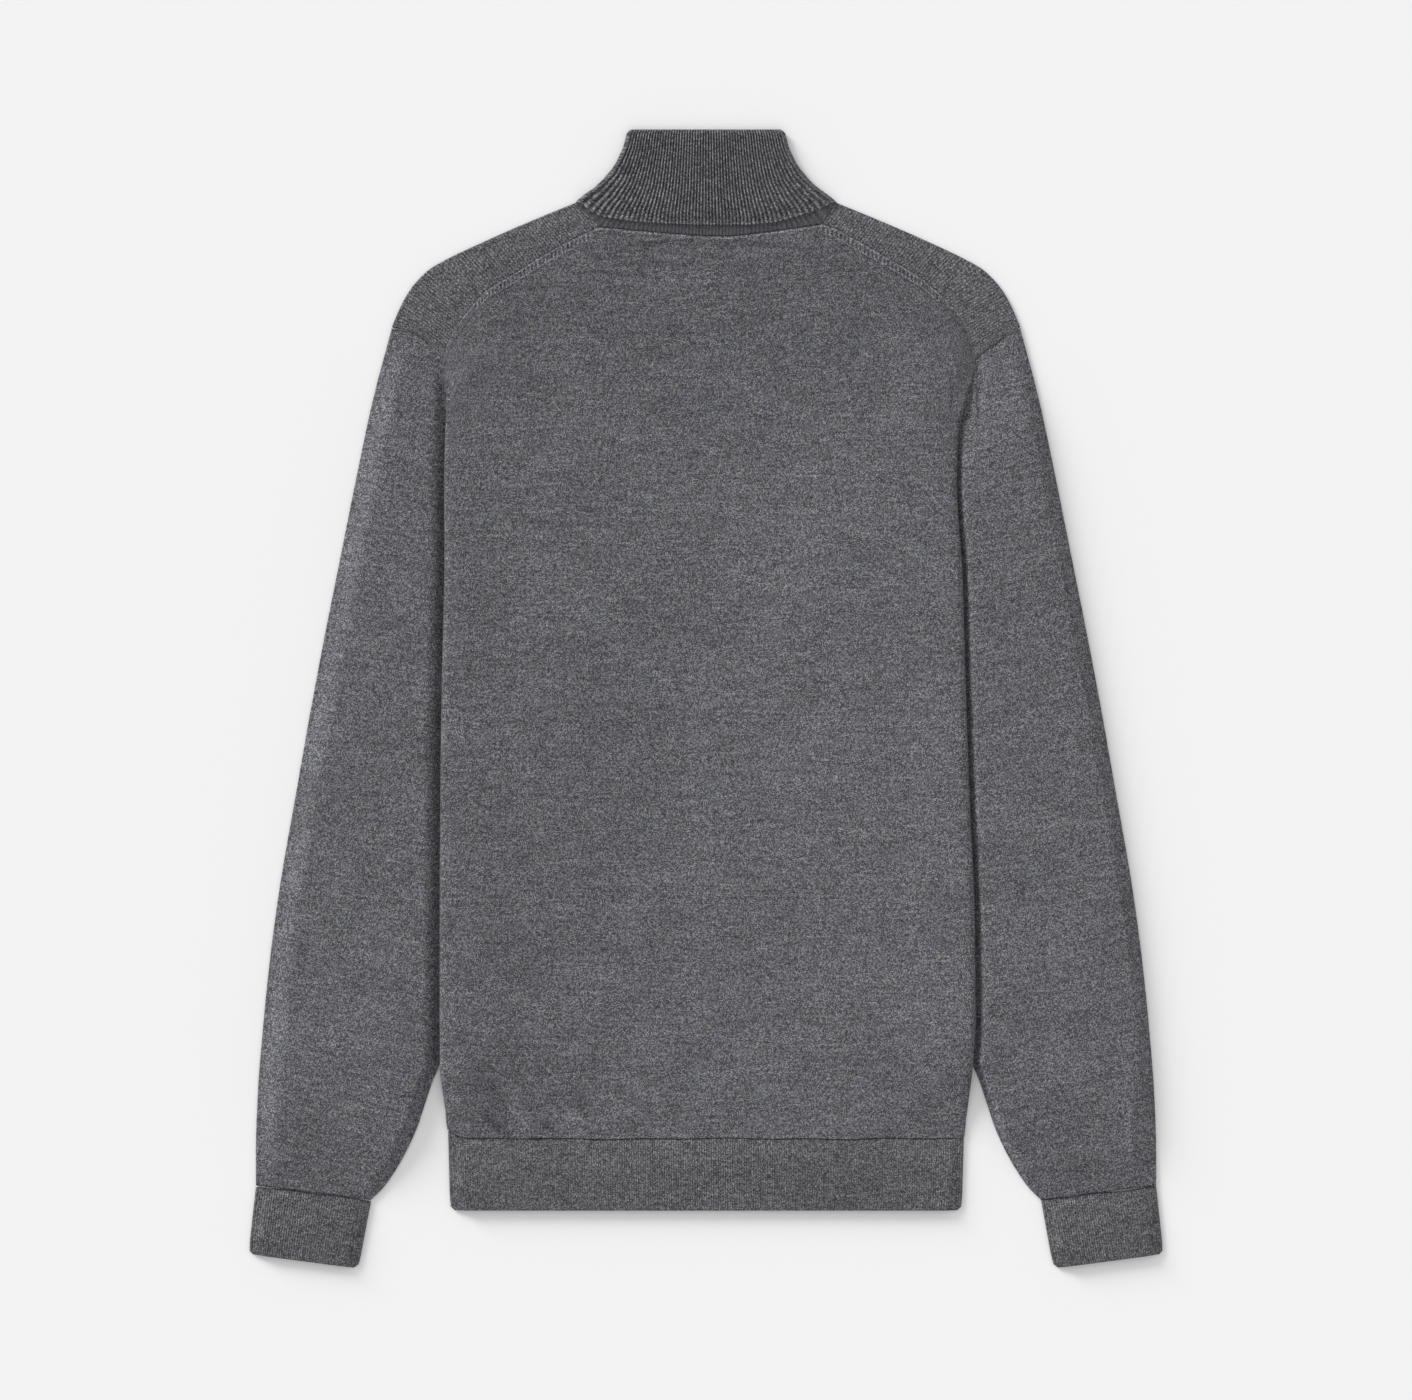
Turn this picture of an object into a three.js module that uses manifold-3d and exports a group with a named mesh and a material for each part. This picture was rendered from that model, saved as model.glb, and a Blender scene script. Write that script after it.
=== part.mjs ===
// Roll-neck sweater lying flat, face down, so that its back is up. Millimetres, +Z up, +Y to the collar.
// Its sleeves are laid down beside the body and tucked under the body's two folded side edges.
// The floor is z = 0 and the origin is the middle of the whole outline.
import * as THREE from 'three';
import Module from 'manifold-3d';

const wasm = await Module();
wasm.setup();

// Cloth
const wall = 1.1;
const gap = 0.3;
const layer = wall + gap;
const half = wall / 2;
const lower = half;
const upper = half + layer;
const innerBend = (wall + gap) / 2;
const outerBend = innerBend + layer;

// Rib, raised over a plain inside
const ribUp = 0.35;
const ribDown = 0.1;
const collarRibs = 40;
const hemRibs = 72;
const cuffRibs = 24;

// Body
const bodyTop = 238.5;
const hemSeamY = -307.5;
const rampClear = 1.5;
const leastTuck = 6;
const firstTuckRow = 2;
const lastTuckRow = 13;

// Collar
const collarTop = 398.1;
const frontDip = 8;
const neckHalf = 88.45;
const neckEndY = 344.5;
const neckEndRise = 2;
const neckColumns = 7;
const firstNeckColumn = 8;
const dropFrom = 0.9;
const dropEnd = 0.07;

// Sleeves, cuffs and hem
const sleeveSwell = 2.2;
const swellRise = 20;
const valleyWidth = 13;
const valleyRise = 22;
const hemBottom = -357.9;
const hemHalfTop = 180.4;
const hemHalfBottom = 179;
const cornerInset = 2.6;

const table = (names, rows) => rows.map(
  (row) => Object.fromEntries(names.split(' ').map((name, i) => [name, row[i]])));

// The value of one column, straight between rows, where column `by` is at `where`
function read(rows, by, where, name) {
  const rising = rows[rows.length - 1][by] > rows[0][by];
  let i = 0;
  while (i < rows.length - 2 && (rising ? rows[i + 1][by] < where : rows[i + 1][by] > where)) i++;
  const a = rows[i];
  const b = rows[i + 1];
  const t = Math.min(1, Math.max(0, (where - a[by]) / (b[by] - a[by])));
  return a[name] + t * (b[name] - a[name]);
}

const mix = (a, b, t) => a + (b - a) * t;
const smooth = (t) => { const s = Math.min(1, Math.max(0, t)); return s * s * (3 - 2 * s); };

// Rows of the body from the shoulder corner to the hem seam. left, right: the folded side edges. tuck: where
// the tucked strip and the sleeve under it end. lift: how many layers of cloth lie under the front panel's
// side there. ramp: how wide the panels come down beside them. bend: how much the row follows the top line.
const bodyRows = table('y left right tuck ramp lift bend', [
  [238.5, 183.4, 188, 180, 18, 0, 1],
  [222, 182.3, 185.2, 178.5, 22, 1.6, 0.82],
  [205, 181.6, 181.0, 175.2, 30, 4, 0.64],
  [185, 182.4, 176.5, 163.8, 40, 4, 0.46],
  [150, 183.2, 175.4, 138, 45, 4, 0.22],
  [118, 183, 177, 112, 45, 4, 0.1],
  [95, 182.9, 179, 102, 45, 4, 0.04],
  [65, 183.5, 180, 106, 45, 4, 0],
  [10, 184.7, 181.5, 122, 45, 4, 0],
  [-70, 185.8, 184.3, 142.2, 45, 4, 0],
  [-160, 186.2, 188, 163.6, 45, 4, 0],
  [-225, 186.2, 188.4, 179.1, 45, 4, 0],
  [-256, 186.1, 186.6, 180.1, 45, 4, 0],
  [-280, 183.8, 183.9, 177.8, 45, 2, 0],
  [-307.5, 180.7, 180.2, 174.5, 45, 0, 0],
]);

// The back panel's top: the fashioned shoulder seams and the neck seam between them
const backTop = table('x y', [
  [-183.4, 238.5], [-181.3, 247.6], [-175.7, 259.5], [-168, 270], [-159.6, 280.5], [-153.3, 286.8],
  [-131.6, 299.4], [-121.1, 306.4], [-99.4, 319], [-75.6, 330.2], [-39.2, 326.7], [-4.2, 323.9],
  [17.5, 323.6], [38.5, 326], [60.2, 328.8], [81.9, 332.3], [91.7, 328.8], [114.1, 316.2],
  [130.2, 307.1], [151.2, 294.5], [167.3, 280.5], [178.5, 267.9], [184.8, 254.6], [188, 238.5],
]);
// The front's neck, lower than the back's, on each side of the middle
const frontNeck = table('x y', [[0, 300], [20, 301.4], [40, 306], [60, 315.5], [75.6, 330.2], [81.9, 336.7]]);

// The shoulder fold that shows as the outline: a row for each body column from the neck to the sleeve seam.
// bulge: how much the band follows the round of the sleeve seam.
const shoulderFold = table('x y bulge', [
  [91.7, 346.6, 0], [118.5, 335.9, 0], [153.5, 320.7, 0], [182, 307.2, 0], [193.6, 300.4, 0],
  [202.6, 291.8, 0], [209.2, 283.4, 0.1], [214.9, 272.2, 0.4], [219.8, 260.2, 1],
]);
// Across a band from its seam to its fold: share of the way, and the sleeve seam's point that it ends on
const bandColumns = table('t x y', [[0.4, 197.3, 252.3], [0.63, 206.4, 257.8]]);

// The sleeve's end from the shoulder fold (w 0) along the sleeve seam, down beside the body and then hidden
// to the underarm (w 1). edge: 1 where the point keeps to the body's own edge.
const sleeveEnd = table('w x y edge', [
  [0, 219.8, 259.5, 0], [0.1, 206.5, 257.4, 0], [0.18, 197.5, 251.9, 0], [0.27, 183.8, 237.9, 1],
  [0.34, 183, 222, 1], [0.42, 182.4, 211.5, 1], [0.5, 171.4, 195.9, 0], [0.6, 157.8, 175.7, 0],
  [0.8, 130.4, 135.4, 0], [1, 103, 95, 0],
]);
// Outer edge of the sleeve, then its inner edge
const sleeveOuter = table('y x', [
  [259.5, 219.8], [209.1, 233.1], [153.1, 245], [97.1, 256.2], [41.1, 267.4], [-14.9, 277.9],
  [-70.9, 287.7], [-126.9, 297.5], [-182.9, 305.2], [-238.9, 310.8], [-275.3, 313.6], [-317.3, 315],
  [-340.4, 315],
]);
const sleeveInner = table('y x', [
  [95, 103], [-254, 186], [-266.9, 191.1], [-283.7, 196.7], [-300.5, 202.3], [-317.3, 210],
  [-334, 219.8], [-342.5, 226.1], [-350.6, 234.4],
]);
// A row for each section of the sleeve. end: how much it follows the shaped end. swell: its fullness.
const sleeveRows = table('outer inner end swell', [
  [259.5, 95, 1, 0], [236, 84, 0.72, 0.5], [208, 70, 0.45, 0.9], [170, 48, 0.2, 1], [110, 10, 0.04, 1],
  [30, -50, 0, 1], [-60, -115, 0, 1], [-150, -185, 0, 1], [-215, -235, 0, 1], [-258, -268, 0, 1],
  [-292, -300, 0, 0.9], [-320, -327, 0, 0.5], [-340.4, -350.6, 0, 0],
]);

// Half width of the collar down its side from the top fold (r 0) to the neck (r 1)
const collarSide = table('r x', [
  [0, 53.5], [0.05, 55.4], [0.25, 58.1], [0.45, 62.8], [0.6, 67.5], [0.7, 72], [0.8, 78], [0.9, 85.2],
  [1, 91.3],
]);
// The turned-down layer's free edge across the back, by share of the half width
const freeEdge = table('c y', [
  [-1, 347.6], [-0.86, 339.3], [-0.73, 336.5], [-0.57, 334.6], [-0.3, 333], [0, 332.2], [0.3, 332.2],
  [0.5, 333.5], [0.66, 336.5], [0.81, 340.5], [0.93, 344.6], [1, 347.6],
]);
const frontEdge = table('c y', [[0, 340.5], [0.6, 342], [0.8, 346.5], [0.93, 350], [1, 347.6]]);
// Section of the collar. part: 0 turned-down layer, 1 stand. r: share of the way down. level: 0 and 1 are the
// stand's two faces, 2 and 3 the turned-down layer's. rib: share of the full rib.
const collarSection = table('part r level rib', [
  [0, 1, 2.86, 0.5], [0, 0.8, 3, 1], [0, 0.45, 3, 1], [0, 0.05, 3, 1], [0, 0.016, 2.67, 0.5],
  [0, 0, 1.5, 0], [0, 0.016, 0.33, 0], [1, 0.05, 0, 0], [1, 0.45, 0, 0], [1, 0.8, 0, 0], [1, 0.93, 0, 0],
  [1, 1, 0, 0], [1, 1, 1, 0.6], [1, 0.93, 1, 0.6], [1, 0.8, 1, 0], [1, 0.45, 1, 0], [1, 0.05, 1, 0],
  [0, 0.05, 2, 0], [0, 0.45, 2, 0], [0, 0.8, 2, 0], [0, 1, 2, 0],
]);
const levelOut = table('level out', [
  [0, innerBend - half], [1, innerBend + half], [2, outerBend - half], [3, outerBend + half]]);

// Triangles out of four-cornered faces, turned so that they face out
function closed(points, quads) {
  const index = quads.flatMap(([a, b, c, d]) => [a, b, c, a, c, d]);
  let volume = 0;
  for (let t = 0; t < index.length; t += 3) {
    const [a, b, c] = [0, 1, 2].map((k) => new THREE.Vector3(...points[index[t + k]]));
    volume += a.dot(b.cross(c));
  }
  if (volume < 0) {
    for (let t = 0; t < index.length; t += 3) [index[t + 1], index[t + 2]] = [index[t + 2], index[t + 1]];
  }
  const geometry = new THREE.BufferGeometry();
  geometry.setAttribute('position', new THREE.Float32BufferAttribute(points.flat(), 3));
  geometry.setIndex(index);
  return geometry;
}

// A wall with a face and a back: point(i, j, side) for i across and j along. ringed closes it across.
function wallSolid(across, along, point, ringed) {
  const points = [];
  for (const side of [0, 1]) {
    for (let i = 0; i < across; i++) for (let j = 0; j < along; j++) points.push(point(i, j, side));
  }
  const id = (side, i, j) => (side * across + (i % across)) * along + j;
  const quads = [];
  const last = along - 1;
  for (let i = 0; i < (ringed ? across : across - 1); i++) {
    for (let j = 0; j < last; j++) {
      quads.push([id(0, i, j), id(0, i + 1, j), id(0, i + 1, j + 1), id(0, i, j + 1)]);
      quads.push([id(1, i, j), id(1, i, j + 1), id(1, i + 1, j + 1), id(1, i + 1, j)]);
    }
    quads.push([id(0, i + 1, 0), id(0, i, 0), id(1, i, 0), id(1, i + 1, 0)]);
    quads.push([id(0, i, last), id(0, i + 1, last), id(1, i + 1, last), id(1, i, last)]);
  }
  if (!ringed) {
    const end = across - 1;
    for (let j = 0; j < last; j++) {
      quads.push([id(0, 0, j), id(0, 0, j + 1), id(1, 0, j + 1), id(1, 0, j)]);
      quads.push([id(0, end, j + 1), id(0, end, j), id(1, end, j), id(1, end, j + 1)]);
    }
  }
  return closed(points, quads);
}

// A closed section swept round a closed ring
function sweptSolid(around, section, point) {
  const points = [];
  for (let i = 0; i < around; i++) for (let j = 0; j < section; j++) points.push(point(i, j));
  const id = (i, j) => (i % around) * section + (j % section);
  const quads = [];
  for (let i = 0; i < around; i++) {
    for (let j = 0; j < section; j++) quads.push([id(i, j), id(i + 1, j), id(i + 1, j + 1), id(i, j + 1)]);
  }
  return closed(points, quads);
}

function solidOf(geometry) {
  return new wasm.Manifold(new wasm.Mesh({
    numProp: 3,
    vertProperties: Float32Array.from(geometry.attributes.position.array),
    triVerts: Uint32Array.from(geometry.index.array),
  }));
}

function joined(geometries) {
  const mesh = geometries.map(solidOf).reduce((sum, next) => sum.add(next)).getMesh();
  const geometry = new THREE.BufferGeometry();
  geometry.setAttribute('position', new THREE.Float32BufferAttribute(mesh.vertProperties, 3));
  geometry.setIndex(Array.from(mesh.triVerts));
  return geometry;
}

// Body columns: three on the tucked strip, three on the ramp down beside it, then the flat middle
const rampShare = [1, 1, 1, 0.74, 0.26, 0];
const sideColumns = rampShare.length;
const topColumns = [-135, -103, -75.6, -50, -25, 0, 25, 52, 81.9, 107, 138];
const bodyColumns = 2 * sideColumns + topColumns.length;

function sideX(row, k, side) {
  const edge = side < 0 ? row.left : row.right;
  const folded = bodyRows.indexOf(row) >= firstTuckRow && bodyRows.indexOf(row) <= lastTuckRow;
  const start = folded ? edge - outerBend - half : edge;
  const end = Math.min(row.tuck, edge - leastTuck);
  if (k === 0) return side * start;
  if (k === 1) return side * (start + end) / 2;
  return side * (end - rampClear - row.ramp * (k - 2) / 3);
}

function columnX(row, k) {
  if (k < sideColumns) return sideX(row, k, -1);
  if (k >= bodyColumns - sideColumns) return sideX(row, bodyColumns - 1 - k, 1);
  const n = k - sideColumns + 1;
  const [a, b] = [sideX(row, sideColumns - 1, -1), sideX(row, sideColumns - 1, 1)];
  return mix(mix(a, b, n / (topColumns.length + 1)), topColumns[n - 1], row.bend);
}

function topY(x, front) {
  const seam = read(backTop, 'x', x, 'y');
  return front ? Math.min(seam, read(frontNeck, 'x', Math.abs(x), 'y')) : seam;
}

function bodyPoint(row, k, front) {
  const rise = topY(columnX(bodyRows[0], k), front) - bodyTop;
  const share = rampShare[Math.min(k, bodyColumns - 1 - k)] ?? 0;
  return [columnX(row, k), row.y + rise * row.bend, (front ? lower : upper) + row.lift * layer * share];
}

const bodySheet = (front) => wallSolid(bodyColumns, bodyRows.length, (k, j, side) => {
  const [x, y, z] = bodyPoint(bodyRows[j], k, front);
  return [x, y, z + (side ? -half : half)];
}, false);

// One folded side: from the panel round the fold and back under it to the tuck's end
const turn = [Math.PI / 4, 0, -Math.PI / 4];
function bodyTuck(front, side) {
  const radius = front ? innerBend : outerBend;
  const rows = bodyRows.slice(firstTuckRow, lastTuckRow + 1);
  return wallSolid(4 + turn.length + 1, rows.length, (i, j, face) => {
    const row = rows[j];
    const column = (k) => bodyPoint(row, side < 0 ? k : bodyColumns - 1 - k, front);
    const out = face ? -half : half;
    const middle = row.lift * layer - gap / 2;
    if (i < 2) {
      const [x, y, z] = column(1 - i);
      return [x, y, z + out];
    }
    if (i < 2 + turn.length) {
      const [x, y] = column(0);
      const angle = turn[i - 2];
      return [x + side * (radius + out) * Math.cos(angle), y, middle + (radius + out) * Math.sin(angle)];
    }
    const k = i - 2 - turn.length;
    const [x, y] = column(k);
    return [k < 2 ? x : x + side * rampClear, y, middle - radius - out];
  }, false);
}

// One shoulder of the front panel: from under the back panel out to the fold and back over it
function shoulderBand(side) {
  const under = 4;
  const inner = bandColumns.length;
  const overStart = 1 + inner + turn.length;
  return wallSolid(overStart + inner + 1, shoulderFold.length, (i, j, face) => {
    const fold = shoulderFold[j];
    const k = sideColumns + 2 - j;
    const [seamX, seamY] = bodyPoint(bodyRows[0], side < 0 ? k : bodyColumns - 1 - k, false);
    const dx = fold.x - Math.abs(seamX);
    const dy = fold.y - seamY;
    const length = Math.hypot(dx, dy);
    const reach = length - innerBend - half;
    const out = face ? -half : half;
    const place = (distance, z) => [
      side * (Math.abs(seamX) + dx * distance / length), seamY + dy * distance / length, z];
    const inside = (n, z) => {
      const { t, x, y } = bandColumns[n];
      const straight = place(reach * t, z);
      return [mix(straight[0], side * x, fold.bulge), mix(straight[1], y, fold.bulge), z];
    };
    if (i === 0) return place(j ? -under : gap, lower - out);
    if (i <= inner) return inside(i - 1, lower - out);
    if (i < overStart) {
      const angle = -turn[i - 1 - inner];
      return place(reach + (innerBend + out) * Math.cos(angle), layer - gap / 2
        + (innerBend + out) * Math.sin(angle));
    }
    const n = inner - 1 - (i - overStart);
    return n < 0 ? place(gap, upper + out) : inside(n, upper + out);
  }, false);
}

// Sleeve: a flattened tube. Its lower side is flat on the floor and its upper side swells where it shows.
const sleeveTurn = [-Math.PI / 4, 0, Math.PI / 4];
function sleeve(side) {
  const edgeOf = (y) => read(bodyRows, 'y', y, side < 0 ? 'left' : 'right');
  const columns = sleeveEnd.length;
  const around = 2 * columns + 2 * sleeveTurn.length;
  const plan = (row, k) => {
    const o = { x: read(sleeveOuter, 'y', row.outer, 'x'), y: row.outer };
    const n = { x: read(sleeveInner, 'y', row.inner, 'x'), y: row.inner };
    const end = sleeveEnd[k];
    const [ox, oy] = [sleeveOuter[0].x, sleeveRows[0].outer];
    const straightX = mix(ox, sleeveInner[0].x, end.w);
    const straightY = mix(oy, sleeveRows[0].inner, end.w);
    const endX = end.edge ? edgeOf(end.y) + gap : end.x;
    return [
      mix(o.x, n.x, end.w) + (endX - straightX) * row.end,
      mix(o.y, n.y, end.w) + (end.y - straightY) * row.end,
    ];
  };
  const swell = (row, x, y, w) => {
    const fromOuter = read(sleeveOuter, 'y', y, 'x') - x;
    const inner = y > sleeveInner[1].y ? edgeOf(y) : read(sleeveInner, 'y', y, 'x');
    const fromInner = x - inner;
    return w === 0 ? 0 : sleeveSwell * row.swell * smooth(fromOuter / swellRise)
      * smooth((fromInner - valleyWidth) / valleyRise);
  };
  return wallSolid(around, sleeveRows.length, (i, j, face) => {
    const row = sleeveRows[j];
    const out = face ? -half : half;
    const shrink = innerBend + half;
    const [ax, ay] = plan(row, 0);
    const [bx, by] = plan(row, columns - 1);
    const width = Math.hypot(bx - ax, by - ay);
    const inward = [(bx - ax) / width, (by - ay) / width];
    const sheetPoint = (k) => {
      const [x, y] = plan(row, k);
      const pull = k === 0 ? shrink : k === columns - 1 ? -shrink : 0;
      return [x + inward[0] * pull, y + inward[1] * pull];
    };
    const bend = (k, sign, angle) => {
      const [x, y] = sheetPoint(k);
      const r = innerBend + out;
      return [
        side * (x + sign * inward[0] * r * Math.cos(angle)), y + sign * inward[1] * r * Math.cos(angle),
        layer - gap / 2 + r * Math.sin(angle),
      ];
    };
    if (i < columns) {
      const [x, y] = sheetPoint(i);
      return [side * x, y, upper + swell(row, x, y, sleeveEnd[i].w) + out];
    }
    if (i < columns + sleeveTurn.length) return bend(columns - 1, 1, -sleeveTurn[i - columns]);
    if (i < 2 * columns + sleeveTurn.length) {
      const [x, y] = sheetPoint(2 * columns + sleeveTurn.length - 1 - i);
      return [side * x, y, lower - out];
    }
    return bend(0, -1, sleeveTurn[i - 2 * columns - sleeveTurn.length]);
  }, true);
}

// A flattened rib tube open at both ends: ribs raised on its upper side, its lower side plain and flat.
// at(c, r): the plan of the tube's half-way sheet, c from -1 to 1 across and r from 0 to 1 down.
function ribTube(ribs, at) {
  const top = 2 * ribs + 1;
  const plain = 7;
  const rows = [0, 0.93, 1];
  const around = top + plain + 2 * turn.length;
  const shrink = innerBend + half;
  return wallSolid(around, rows.length, (i, j, face) => {
    const r = rows[j];
    const out = face ? -half : half;
    const width = (at(1, r)[0] - at(-1, r)[0]) / 2;
    const inside = 1 - shrink / width;
    if (i < top) {
      const rib = i === 0 || i === top - 1 ? 0 : i % 2 ? ribUp : -ribDown;
      return [...at(inside * (-1 + 2 * i / (top - 1)), r), upper + out + (face ? 0 : rib)];
    }
    if (i < top + turn.length || i >= top + turn.length + plain) {
      const right = i < top + turn.length;
      const angle = right ? turn[i - top] : -turn[i - top - turn.length - plain];
      const [x, y] = at(right ? inside : -inside, r);
      const radius = innerBend + out;
      return [x + (right ? 1 : -1) * radius * Math.cos(angle), y, layer - gap / 2
        + radius * Math.sin(angle)];
    }
    const k = i - top - turn.length;
    return [...at(inside * (1 - 2 * k / (plain - 1)), r), lower - out];
  }, true);
}

// Corners as [x, y] at the seam and at the open end, each from left to right
const tubePlan = (seam, end) => (c, r) => {
  const t = (c + 1) / 2;
  const inset = r === 1 ? cornerInset * c : 0;
  return [
    mix(mix(seam[0][0], seam[1][0], t), mix(end[0][0], end[1][0], t), r) - inset,
    mix(mix(seam[0][1], seam[1][1], t), mix(end[0][1], end[1][1], t), r),
  ];
};

// The panel's neck line between the body's two top corners, and on to the collar's sides
const neckLine = (front) => table('x y', [
  [-neckHalf, neckEndY],
  ...Array.from({ length: neckColumns }, (_, n) => bodyPoint(bodyRows[0], firstNeckColumn + n, front))
    .map(([x, y]) => [x, y + gap]),
  [neckHalf, neckEndY],
]);

// Collar: stand and turned-down layer in one strip, folded at the top and closed round the neck
function collar() {
  const top = 2 * collarRibs + 1;
  const [backLine, frontLine] = [neckLine(false), neckLine(true)];
  const secondTurn = top + turn.length + frontLine.length;
  const middle = outerBend + half;
  const drop = layer;
  const plan = (c, part, r, front) => {
    const x = c * (read(collarSide, 'r', r, 'x') - middle);
    const foldY = collarTop - (front ? frontDip * (1 - c ** 4) : 0);
    if (!part) return [x, mix(foldY, front ? read(frontEdge, 'c', Math.abs(c), 'y')
      : read(freeEdge, 'c', c, 'y'), r)];
    if (front && r === 1) return [x, read(frontLine, 'x', x, 'y')];
    return [x, mix(foldY, read(backLine, 'x', c * neckHalf, 'y'), r)];
  };
  return sweptSolid(secondTurn + turn.length, collarSection.length, (i, j) => {
    const { part, r, level, rib } = collarSection[j];
    const inFirst = i >= top && i < top + turn.length;
    const front = i >= top + turn.length && i < secondTurn;
    let c = inFirst ? 1 : -1;
    let angle = inFirst ? turn[i - top] : Math.PI + turn[i - secondTurn];
    if (i < top) [c, angle] = [-1 + 2 * i / (top - 1), Math.PI / 2];
    if (front) [c, angle] = [frontLine[secondTurn - 1 - i].x / neckHalf, -Math.PI / 2];
    let [x, y] = plan(c, part, r, front);
    if (part && Math.abs(c) === 1) y = mix(collarTop, neckEndY + neckEndRise * (i < top || front ? 0 : 1), r);
    const ribbed = i > 0 && i < top - 1 ? (i % 2 ? ribUp : -ribDown) * rib : 0;
    const reach = read(levelOut, 'level', level, 'out') + ribbed;
    const dropped = part && r > dropFrom ? drop * Math.min(1, (1 - Math.abs(c)) / dropEnd) : 0;
    return [x + Math.cos(angle) * reach, y, middle - dropped + Math.sin(angle) * reach];
  });
}

const knit = 0x62626a;
const group = new THREE.Group();
function piece(name, geometry) {
  geometry.computeVertexNormals();
  const mesh = new THREE.Mesh(geometry, new THREE.MeshStandardMaterial({ color: knit, roughness: 0.95 }));
  mesh.name = name;
  group.add(mesh);
}

piece('back_panel', joined([bodySheet(false), bodyTuck(false, -1), bodyTuck(false, 1)]));
piece('front_panel', joined([
  bodySheet(true), bodyTuck(true, -1), bodyTuck(true, 1), shoulderBand(-1), shoulderBand(1)]));
piece('left_sleeve', sleeve(-1));
piece('right_sleeve', sleeve(1));
piece('collar', collar());
piece('hem_band', ribTube(hemRibs, tubePlan(
  [[-hemHalfTop, hemSeamY - gap], [hemHalfTop, hemSeamY - gap]],
  [[-hemHalfBottom, hemBottom], [hemHalfBottom, hemBottom]])));
piece('left_cuff', ribTube(cuffRibs, tubePlan(
  [[-315, -341], [-234.4, -351.2]], [[-320.2, -388.6], [-243, -398.1]])));
piece('right_cuff', ribTube(cuffRibs, tubePlan(
  [[234.4, -351.2], [315, -341]], [[243, -398.1], [320.2, -388.6]])));

export default group;
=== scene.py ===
"""Roll-neck sweater lying flat with its back up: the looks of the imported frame. Tables are in millimetres."""
import math
import bpy
import numpy as np
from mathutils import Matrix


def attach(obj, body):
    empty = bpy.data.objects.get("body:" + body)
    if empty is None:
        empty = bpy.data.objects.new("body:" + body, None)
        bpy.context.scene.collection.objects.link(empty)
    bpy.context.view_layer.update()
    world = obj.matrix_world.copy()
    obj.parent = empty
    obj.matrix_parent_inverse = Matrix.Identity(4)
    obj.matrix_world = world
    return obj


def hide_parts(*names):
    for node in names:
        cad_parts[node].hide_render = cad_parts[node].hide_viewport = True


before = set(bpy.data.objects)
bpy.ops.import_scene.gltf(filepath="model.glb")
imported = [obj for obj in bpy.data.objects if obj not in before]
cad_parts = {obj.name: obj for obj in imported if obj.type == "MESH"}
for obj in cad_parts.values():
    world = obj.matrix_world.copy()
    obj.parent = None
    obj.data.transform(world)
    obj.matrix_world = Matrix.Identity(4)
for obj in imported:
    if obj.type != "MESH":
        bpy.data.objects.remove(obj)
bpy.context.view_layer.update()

# Floor, camera and light: a pale studio floor seen from straight above, lit softly from the upper left.
IMAGE_WIDTH = 0.9884
IMAGE_MIDDLE = (0.0, -0.0009)
CAMERA_HEIGHT = 4.0
scene = bpy.context.scene
scene.view_settings.view_transform = "Standard"

floor_mesh = bpy.data.meshes.new("floor")
floor_mesh.from_pydata([(-6, -6, 0), (6, -6, 0), (6, 6, 0), (-6, 6, 0)], [], [(0, 1, 2, 3)])
floor = bpy.data.objects.new("floor", floor_mesh)
scene.collection.objects.link(floor)
floor_material = bpy.data.materials.new("pale_paper")
floor_material.use_nodes = True
paper = floor_material.node_tree.nodes["Principled BSDF"]
paper.inputs["Base Color"].default_value = (0.86, 0.86, 0.86, 1)
paper.inputs["Roughness"].default_value = 0.9
paper.inputs["Specular IOR Level"].default_value = 0.1
floor_mesh.materials.append(floor_material)

camera_data = bpy.data.cameras.new("camera")
camera_data.sensor_width = 36
camera_data.lens = 36 * CAMERA_HEIGHT / IMAGE_WIDTH
camera = bpy.data.objects.new("camera", camera_data)
camera.location = (*IMAGE_MIDDLE, CAMERA_HEIGHT)
scene.collection.objects.link(camera)
scene.camera = camera

# The key light's direction and width are in degrees: where it comes from, how high it stands, how wide it is
KEY_SIDE, KEY_HEIGHT, KEY_WIDTH, KEY_STRENGTH = 136, 18, 24, 2.9
SKY_STRENGTH = 0.755
key_data = bpy.data.lights.new("key_light", "SUN")
key_data.angle, key_data.energy = math.radians(KEY_WIDTH), KEY_STRENGTH
key = bpy.data.objects.new("key_light", key_data)
key.rotation_euler = (math.radians(90 - KEY_HEIGHT), 0, math.radians(KEY_SIDE + 90))
key.location = (-1, 2, 2)
scene.collection.objects.link(key)
world = bpy.data.worlds.new("studio")
world.use_nodes = True
world.node_tree.nodes["Background"].inputs["Color"].default_value = (1, 1, 1, 1)
world.node_tree.nodes["Background"].inputs["Strength"].default_value = SKY_STRENGTH
scene.world = world

# Back panel: plain knit wool, fashioned at its shoulders and neck. It lies on the front panel, its two sides
# are folded under on the sleeves, and its top edge is linked to the front's shoulders and to the collar.
WALL = 1.1
HALF = WALL / 2
GAP = 0.3
LAYER = WALL + GAP
LOWER = HALF
UPPER = HALF + LAYER
INNER_BEND = (WALL + GAP) / 2
OUTER_BEND = INNER_BEND + LAYER
BODY_TOP = 238.5
RAMP_CLEAR = 1.5
RAMP_STRETCH = 2.4
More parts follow.
